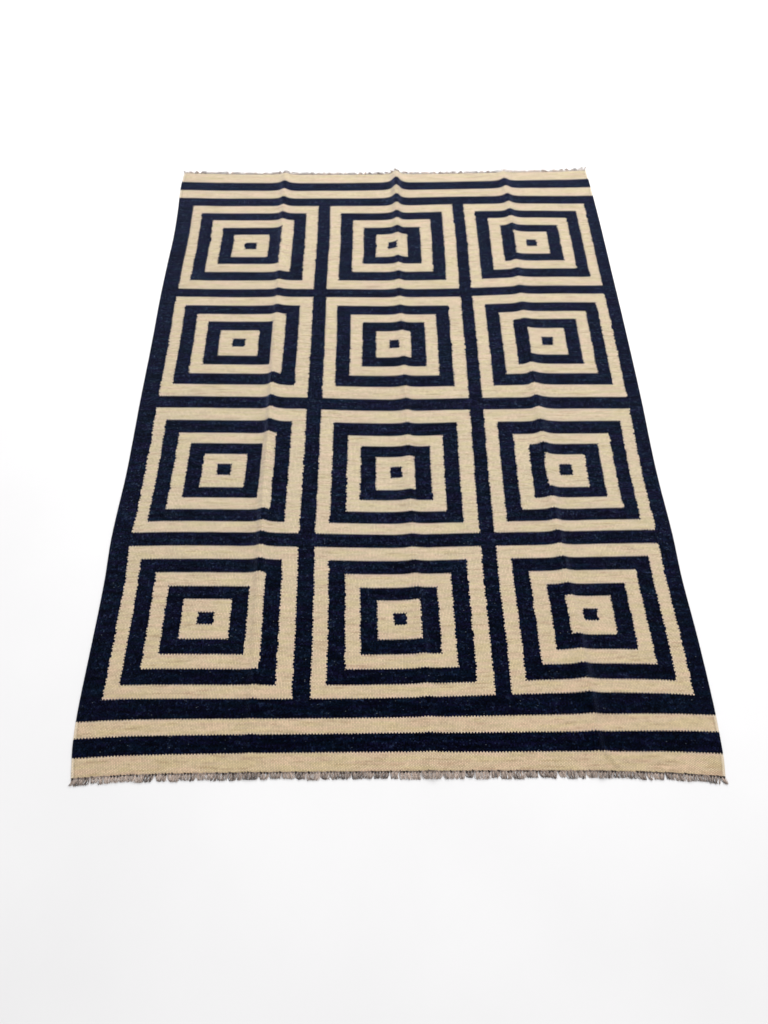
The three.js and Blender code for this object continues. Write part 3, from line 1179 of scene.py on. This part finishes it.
class Growth(Graph):
    """A Geometry Nodes tree under construction, with named inputs for its sizes."""

    def __init__(self, name: str) -> None:
        """Starts a tree that takes a path and gives a mesh."""
        super().__init__(bpy.data.node_groups.new(name, "GeometryNodeTree"))
        self.tree.interface.new_socket("Path", in_out="INPUT", socket_type="NodeSocketGeometry")
        self.tree.interface.new_socket("Mesh", in_out="OUTPUT", socket_type="NodeSocketGeometry")
        self.entry = self.tree.nodes.new("NodeGroupInput")
        self.out = self.tree.nodes.new("NodeGroupOutput")

    def size(self, name: str, kind: str = "Float") -> Number:
        """Adds a named input."""
        self.tree.interface.new_socket(name, in_out="INPUT", socket_type="NodeSocket" + kind)
        return Number(self, self.entry.outputs[name])

    def sizes(self, *names: str) -> list[Number]:
        """Adds several named inputs."""
        return [self.size(name) for name in names]

    def shape(self, kind: str, settings: dict | None = None, **inputs: object) -> Socket:
        """Adds a geometry node, by the end of its type's name. In the name of an input, _ stands for a space."""
        named = {name.replace("_", " "): value for name, value in inputs.items()}
        return self.make("GeometryNode" + kind, named, **(settings or {}))

    def line(self) -> Socket:
        """The path as a curve."""
        return self.shape("MeshToCurve", Mesh=self.entry.outputs["Path"])

    def spots(self, pitch: Number) -> Socket:
        """Points along the path, a pitch apart."""
        return self.shape("CurveToPoints", {"mode": "LENGTH"}, Curve=self.line(), Length=pitch)

    def part(self) -> Number:
        """How far along its curve a point is, from 0 to 1."""
        return Number(self, self.make("GeometryNodeSplineParameter", None, "Factor"))

    def random(self, low: float, high: float, seed: object) -> Number:
        """An even random number for each point."""
        inputs = {2: low, 3: high, "Seed": seed}
        return Number(self, self.make("FunctionNodeRandomValue", inputs, 1, data_type="FLOAT"))

    def random_vector(self, low: Sequence[float], high: Sequence[float], seed: object) -> Socket:
        """An even random vector for each point."""
        return self.make("FunctionNodeRandomValue", {0: low, 1: high, "Seed": seed}, data_type="FLOAT_VECTOR")

    def store(self, geometry: Socket, name: str, value: Socket) -> Socket:
        """Writes a vector for each point, by name."""
        kinds = {"data_type": "FLOAT_VECTOR", "domain": "POINT"}
        return self.shape("StoreNamedAttribute", kinds, Geometry=geometry, Name=name, Value=value)

    def stored(self, name: str) -> Socket:
        """Reads a vector that was written for each point."""
        return self.shape("InputNamedAttribute", {"data_type": "FLOAT_VECTOR"}, Name=name)

    def sweep(self, curve: Socket, radius: object, sides: int, tone: object = 0.5) -> Socket:
        """Gives a curve a round section, with the run along the yarn and the turn round it written for its finish.

        Args:
            curve: The curve.
            radius: The section's radius.
            sides: The section's number of sides.
            tone: A number for the yarn's own shade.

        Returns:
            The mesh.
        """
        length = self.make("GeometryNodeSplineParameter", None, "Length")
        curve = self.store(curve, "run", self.join(length, 0.0, tone))
        ring = self.shape("CurvePrimitiveCircle", Resolution=sides, Radius=radius)
        ring = self.store(ring, "turn", self.join(0.0, self.part(), 0.0))
        mesh = self.shape("CurveToMesh", Curve=curve, Profile_Curve=ring, Fill_Caps=True)
        return self.store(mesh, "ply", self.vector("ADD", self.stored("run"), self.stored("turn")))

    def finish(self, mesh: Socket, material: bpy.types.Material) -> bpy.types.NodeTree:
        """Makes the geometry plain mesh, gives it a material and ends the tree.

        Args:
            mesh: The geometry.
            material: The material.

        Returns:
            The tree.
        """
        real = self.make("GeometryNodeRealizeInstances", {0: mesh})
        smooth = self.make("GeometryNodeSetShadeSmooth", {0: real})
        self.feed(self.out.inputs[0], self.shape("SetMaterial", Geometry=smooth, Material=material))
        return self.tree


@dataclass
class Selvedge:
    """The turns of weft round the outermost warp cord of one side, one turn for every two picks."""

    weave: Weave
    hand: Hand
    material: bpy.types.Material
    picks_a_turn: float = 2.0
    cord_radius: float = 0.0018
    yarn_radius: float = 0.0008
    rise: float = 2.15
    inset: float = 2.1
    path_points: int = 300
    arc_degrees: float = 224.0
    arc_points: int = 7
    yarn_sides: int = 6
    flatness: float = 0.75
    swell: Pair = (0.9, 1.12)
    lean: Triple = (0.06, 0.05, 0.16)

    def build(self) -> bpy.types.Object:
        """Builds the turns along the selvedge.

        Returns:
            The piece.
        """
        picks = np.linspace(1.0, self.weave.picks - 1.0, self.path_points)
        warp, beyond = (0.0, -0.5) if self.hand is Hand.LEFT else (self.weave.warps, self.weave.warps + 0.5)
        path = np.concatenate([self.weave.lay(np.array([warp]), pick) for pick in picks])
        path[:, 0] -= self.hand.value * self.inset
        path[:, 2] += self.rise
        layers = self.weave.attributes(np.full(len(picks), beyond), picks)
        sizes = {
            "Turn pitch": FLAT_SIZE[1] / self.weave.picks * self.picks_a_turn,
            "Cord radius": self.cord_radius,
            "Yarn radius": self.yarn_radius,
            "Outward": float(self.hand.value),
            "Seed": 5 + self.hand.value,
        }
        return grow(f"selvedge_{self.hand.name.lower()}", path * MM, layers, self._tree(), sizes)

    def _tree(self) -> bpy.types.NodeTree:
        """Makes the tree that wraps a turn of yarn round the cord at every step along its path.

        Returns:
            The tree.
        """
        g = Growth("selvedge turns")
        pitch, cord, yarn, outward = g.sizes("Turn pitch", "Cord radius", "Yarn radius", "Outward")
        seed = g.size("Seed", "Int")
        line = g.shape("ResampleCurve", {"mode": "LENGTH"}, Curve=g.line(), Length=pitch)
        start, sweep = math.radians(-self.arc_degrees / 2), math.radians(self.arc_degrees)
        arc = g.shape("CurveArc", Resolution=self.arc_points, Radius=cord, Start_Angle=start, Sweep_Angle=sweep)
        upright = g.shape("Transform", Geometry=arc, Rotation=(math.pi / 2, 0.0, 0.0))
        ring = g.shape("CurvePrimitiveCircle", Resolution=self.yarn_sides, Radius=yarn)
        turn = g.shape("CurveToMesh", Curve=upright, Profile_Curve=ring, Fill_Caps=True)
        lean = g.random_vector([-most for most in self.lean], self.lean, seed)
        way = (1.0 - outward) * (math.pi / 2)
        swell = g.random(*self.swell, seed + 1.0)
        turns = g.shape(
            "InstanceOnPoints",
            Points=line,
            Instance=turn,
            Rotation=g.vector("ADD", lean, g.join(0.0, 0.0, way)),
            Scale=g.join(swell, 1.0, swell * self.flatness),
        )
        return g.finish(turns, self.material)


@dataclass
class Fringe:
    """The warp ends of one end: a row of small overhand knots against the last pick, and the cut ends past them."""

    weave: Weave
    end: End
    knot_finish: WarpYarn
    end_finish: WarpYarn
    length: float
    droop: float
    stray: float
    ends_a_knot: int
    seed: int
    curl: float = 0.0
    warps_a_knot: int = 2
    rise: float = 3.1
    off_cloth: float = 1.3
    knot_size: Triple = (0.0040, 0.0064, 0.0028)
    knot_yarn: float = 0.0009
    knot_reach: Triple = (5.2, 5.2, 2.4)
    knot_slant: tuple[Triple, Triple] = ((-0.25, -0.25, 0.3), (0.25, 0.25, 0.9))
    knot_swell: Pair = (0.85, 1.12)
    knot_shift: Triple = (0.0006, 0.0013, 0.0005)
    end_yarn: float = 0.0005
    spread: float = 0.0022
    tuft_width: float = 0.030
    gather: float = 0.3
    fan: float = 0.0038
    curve: float = 0.0046
    kink: float = 0.007
    kink_scale: float = 210.0
    kink_spread: float = 90.0
    rest: float = 0.0022
    crowding: float = 0.7
    corner_flare: float = 0.003
    loop_points: int = 22
    knot_sides: int = 6
    end_points: int = 7
    end_sides: int = 4
    taper: Pair = (1.3, 0.75)
    clump: float = 0.06
    tuft_lean: float = 0.008
    tuft_lengths: Pair = (0.8, 1.08)
    tuft_pull: Pair = (1.2, 0.4)

    def path(self) -> np.ndarray:
        """Finds the line of the row of knots.

        Returns:
            One point a warp, just off the last pick, in metres.
        """
        pick = 0.0 if self.end is End.NEAR else float(self.weave.picks)
        path = self.weave.lay(np.arange(1.0, self.weave.warps), pick)
        path[:, 1] += self.end.value * self.off_cloth
        path[:, 2] += self.rise
        return path * MM

    def build(self) -> list[bpy.types.Object]:
        """Ties the knots and lays out the ends past them.

        Returns:
            The row of knots, and the ends.
        """
        path = self.path()
        run = float(np.linalg.norm(np.diff(path, axis=0), axis=1).sum())
        given = ("knot_size", "knot_yarn", "ends_a_knot", "end_yarn", "length", "spread", "tuft_width", "gather")
        given += ("fan", "curve", "kink", "droop", "stray", "curl", "corner_flare", "seed")
        sizes = {name.replace("_", " ").capitalize(): getattr(self, name) for name in given}
        sizes["Knot pitch"] = run / (self.weave.warps // self.warps_a_knot)
        sizes["Away"] = float(self.end.value)
        sizes["Half width"] = float(np.abs(path[:, 0]).max())
        trees = {"knots": self._knot_tree(), "warp_ends": self._end_tree()}
        return [grow(f"{part}_{self.end.name.lower()}", path, {}, tree, sizes) for part, tree in trees.items()]

    def _knot_tree(self) -> bpy.types.NodeTree:
        """Makes the tree that ties a knot at every step along its path.

        Returns:
            The tree.
        """
        g = Growth("row of knots")
        pitch, yarn, away = g.sizes("Knot pitch", "Knot yarn", "Away")
        size, seed = g.size("Knot size", "Vector"), g.size("Seed", "Int")
        spots = g.store(g.spots(pitch), "tone", g.random_vector((0, 0, 0), (1, 1, 1), seed))
        loop = g.shape("CurvePrimitiveCircle", Resolution=self.loop_points, Radius=1.0)
        part = g.part()
        x = part.wave("SINE", 4.0) * 2.0 + part.wave("SINE", 2.0)
        y = part.wave("COSINE", 4.0) * -2.0 + part.wave("COSINE", 2.0)
        unit = [1 / reach for reach in self.knot_reach]
        tied = g.vector("MULTIPLY", g.join(x, y, part.wave("SINE", 6.0)), unit)
        knot = g.shape("SetPosition", Geometry=loop, Position=g.vector("MULTIPLY", tied, size))
        swell = g.random(*self.knot_swell, seed + 2.0)
        aside, ahead, up = self.knot_shift
        shift = g.random_vector((-aside, -ahead, 0.0), (aside, ahead, up), seed + 4.0)
        knots = g.shape(
            "InstanceOnPoints",
            Points=g.shape("SetPosition", Geometry=spots, Offset=shift),
            Instance=g.sweep(knot, yarn, self.knot_sides),
            Rotation=g.random_vector(*self.knot_slant, seed + 1.0),
            Scale=g.join(swell, swell * away, swell),
        )
        real = g.shape("RealizeInstances", Geometry=knots)
        clear = g.vector("MAXIMUM", g.shape("InputPosition"), OFF_FLOOR)
        real = g.shape("SetPosition", Geometry=real, Position=clear)
        tone = g.stored("tone")
        own = g.vector("MULTIPLY", g.vector("MULTIPLY", tone, tone), (0.0, 0.0, 1.0))
        ply = g.vector("ADD", g.vector("MULTIPLY", g.stored("ply"), (1.0, 1.0, 0.0)), own)
        return g.finish(g.store(real, "ply", ply), self.knot_finish.material())

    def _end_tree(self) -> bpy.types.NodeTree:
        """Makes the tree that lays the cut ends: they gather in tufts, lean out at the corners and rest on the floor.

        Returns:
            The tree.
        """
        g = Growth("cut warp ends")
        pitch, away, yarn, length, spread = g.sizes("Knot pitch", "Away", "End yarn", "Length", "Spread")
        width, gather, droop, stray, curl = g.sizes("Tuft width", "Gather", "Droop", "Stray", "Curl")
        flare, half, fan, curve, kink = g.sizes("Corner flare", "Half width", "Fan", "Curve", "Kink")
        each, seed = g.size("Ends a knot", "Int"), g.size("Seed", "Int")
        place = g.shape("InputPosition")
        spots = g.store(g.spots(pitch), "root", place)
        spots = g.store(spots, "tuft", self._tuft(g, place, width, gather, seed))
        spots = g.shape("DuplicateElements", {"domain": "POINT"}, Geometry=spots, Amount=each)
        spots = g.store(spots, "toss", g.random_vector((0, 0, 0), (1, 1, 1), seed))
        spots = g.store(spots, "lean", g.random_vector((-1, -1, -1), (1, 1, 1), seed + 3.0))
        root, tuft, toss, lean = (g.split(g.stored(name)) for name in ("root", "tuft", "toss", "lean"))
        run = lean[2] * spread + length * tuft[2]
        bar = g.shape("CurvePrimitiveLine", Start=(0, 0, 0), End=(0, 1, 0))
        bar = g.shape("ResampleCurve", Curve=bar, Count=self.end_points)
        bars = g.shape("InstanceOnPoints", Points=spots, Instance=bar, Scale=g.join(1.0, run * away, 1.0))
        bars = g.shape("RealizeInstances", Geometry=bars)

        part = g.part()
        bent = part**1.3
        outward = (abs(root[0]) / half).remap(0.95, 1.0) * root[0].sign()
        aside = lean[0] * fan + (outward * flare + tuft[0])
        bend = part.wave("SINE") * (lean[1] * curve)
        scales = ((place, self.kink_scale), (g.stored("toss"), self.kink_spread))
        here, own = (g.vector("MULTIPLY", at, (scale,) * 3) for at, scale in scales)
        kinked = (g.noise(g.vector("ADD", here, own), 1.0, 1.0) - 0.5) * (part * kink)
        first = (toss[0] - 0.5) * (pitch * self.crowding)
        x, y, z = g.split(place)
        x = x + (first + bend) + (bent * aside + kinked)
        up = outward.most(0.0) * bent * curl + (toss[1] * part * stray + z)
        z = (up - part**1.5 * droop).most(toss[2] * self.rest + yarn * 1.4)
        bars = g.shape("SetPosition", Geometry=bars, Position=g.join(x, y, z))
        bars = g.shape("SetCurveRadius", Curve=bars, Radius=part.remap(0.0, 1.0, *self.taper))
        shade = part**2.0 * -0.4 + (tuft[1] * 0.4 + toss[0] * 0.7)
        return g.finish(g.sweep(bars, yarn, self.end_sides, shade), self.end_finish.material())

    def _tuft(self, g: Growth, place: Socket, width: Number, gather: Number, seed: Number) -> Socket:
        """Sorts the ends into tufts, which leave gaps of the floor between them.

        Args:
            g: The tree.
            place: Where an end starts.
            width: The width of a tuft.
            gather: How far an end leans to the middle of its tuft, as a share of its way there.
            seed: The seed.

        Returns:
            How far the end leans aside, its shade, and its length as a share of the usual one.
        """
        x = g.split(place)[0]
        along = x / width + g.noise(g.join(x / self.clump, seed), 1.0, 2.0) * 4.0
        number = math.floor(along)
        pull, lean, length, shade = (g.chance(number, seed, toss) for toss in (1.0, 2.0, 3.0, 4.0))
        pull = gather * (pull * self.tuft_pull[0] + self.tuft_pull[1])
        aside = (lean - 0.5) * self.tuft_lean - (along - number - 0.5) * pull * width
        return g.join(aside, shade, length.remap(0.0, 1.0, *self.tuft_lengths))


# The studio


@dataclass(frozen=True)
class Studio:
    """The pale floor, the soft light and the camera."""

    floor_size: float = 60.0
    eye: tuple[float, float, float] = (-0.05396, -1.74426, 2.12702)
    looks_down: float = 58.47
    turned_right: float = 1.156
    rolled: float = 0.6215
    lens: float = 28.0
    sensor: float = 36.0
    room_light: float = 0.66

    def build(self) -> None:
        """Builds the floor, the lights and the camera."""
        self._floor()
        self._lights()
        self._camera()

    def _floor(self) -> None:
        """Lays the floor."""
        half = self.floor_size / 2
        mesh = bpy.data.meshes.new(FLOOR_NAME)
        corners = [(-half, -half, 0), (half, -half, 0), (half, half, 0), (-half, half, 0)]
        mesh.from_pydata(corners, [], [(0, 1, 2, 3)])
        mesh.materials.append(PaleFloor().material())
        add_object(FLOOR_NAME, mesh)

    def _lights(self) -> None:
        """Hangs a wide soft light behind the far end and one over the rug, in a bright room."""
        world = bpy.data.worlds.new("bright_room")
        bpy.context.scene.world = world
        world.use_nodes = True
        g = Graph(world.node_tree)
        back = g.make("ShaderNodeBackground", {"Color": opaque(WHITE), "Strength": self.room_light})
        g.node("ShaderNodeOutputWorld", {0: back})
        self._soft_light("far_window", place=(0.6, 4.6, 3.2), aim=(0.0, 0.6, 0.0), size=(4.0, 2.4), watts=250.0)
        self._soft_light("ceiling_panel", place=(0.9, 0.1, 4.2), aim=(0.0, 0.0, 0.0), size=(3.0, 3.0), watts=78.0)

    @staticmethod
    def _soft_light(name: str, place: Triple, aim: Triple, size: Pair, watts: float) -> None:
        """Hangs one soft light.

        Args:
            name: Its name.
            place: Where it hangs.
            aim: Where it points.
            size: Its width and height.
            watts: Its power.
        """
        data = bpy.data.lights.new(name, "AREA")
        data.shape = "RECTANGLE"
        data.size, data.size_y = size
        data.energy = watts
        way = Vector(aim) - Vector(place)
        turn = way.to_track_quat("-Z", "Y").to_matrix().to_4x4()
        add_object(name, data).matrix_world = Matrix.Translation(place) @ turn

    def _camera(self) -> None:
        """Sets the camera where the picture was taken from, a little over head height past the near end."""
        data = bpy.data.cameras.new("camera")
        data.lens = self.lens
        data.sensor_width = self.sensor
        data.sensor_fit = "AUTO"
        data.clip_end = 200.0
        camera = add_object("camera", data)
        camera.matrix_world = (
            Matrix.Translation(self.eye)
            @ Matrix.Rotation(-math.radians(self.turned_right), 4, "Z")
            @ Matrix.Rotation(math.radians(90 - self.looks_down), 4, "X")
            @ Matrix.Rotation(math.radians(self.rolled), 4, "Z")
        )
        bpy.context.scene.camera = camera


@dataclass
class Rug:
    """The whole rug: the cloth, its two selvedges and its two fringes."""

    weave: Weave = field(default_factory=lambda: Weave(Lie()))
    wool: WovenWool = field(default_factory=WovenWool)
    # The knots are the same warp yarn as the cut ends, painted darker for the shade in and between them.
    knots: WarpYarn = WarpYarn("knotted_warp_shaded", light=(0.40, 0.31, 0.26), dark=(0.020, 0.012, 0.012))
    ends: WarpYarn = WarpYarn("cut_warp", light=(0.78, 0.625, 0.53), dark=(0.045, 0.032, 0.028))

    def build(self) -> None:
        """Builds every piece, hides the model's parts that they replace, and puts each on the rug's one body."""
        cloth = Cloth(self.weave, self.wool)
        sheet = cloth.build()
        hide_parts("rug_cloth")
        self._settle(sheet, "woven_wool")
        beside = [Selvedge(self.weave, hand, sheet.data.materials[0]).build() for hand in Hand]
        for turns in beside:
            self._settle(turns, "woven_wool")
        yarns = (self.knots, self.ends)
        near = Fringe(
            self.weave, End.NEAR, *yarns, length=0.0175, droop=0.008, stray=0.003, ends_a_knot=11, seed=17
        )
        far = Fringe(
            self.weave,
            End.FAR,
            *yarns,
            length=0.0112,
            droop=0.0,
            stray=0.0045,
            ends_a_knot=7,
            seed=29,
            curl=0.009,
            rise=1.7,
            knot_size=(0.0040, 0.0064, 0.0015),
            knot_yarn=0.0007,
            gather=0.5,
        )
        for fringe in (near, far):
            for piece in fringe.build():
                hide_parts(f"fringe_{fringe.end.name.lower()}")
                self._settle(piece, "warp_yarn")
                beside.append(piece)

    @staticmethod
    def _settle(piece: bpy.types.Object, slot: str) -> None:
        """Puts a piece on the rug's one body, names its slot and reports it."""
        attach(piece, BODY)
        log.info("%s: %d faces, finish %s", piece.name, len(piece.data.polygons), slot)


def main() -> None:
    """Builds the studio and the rug, and logs the count of faces of each piece of the rug."""
    logging.basicConfig(level=logging.INFO, format="%(name)s: %(message)s")
    bpy.context.scene.view_settings.view_transform = "Standard"
    Studio().build()
    Rug().build()


if __name__ == "__main__":
    main()
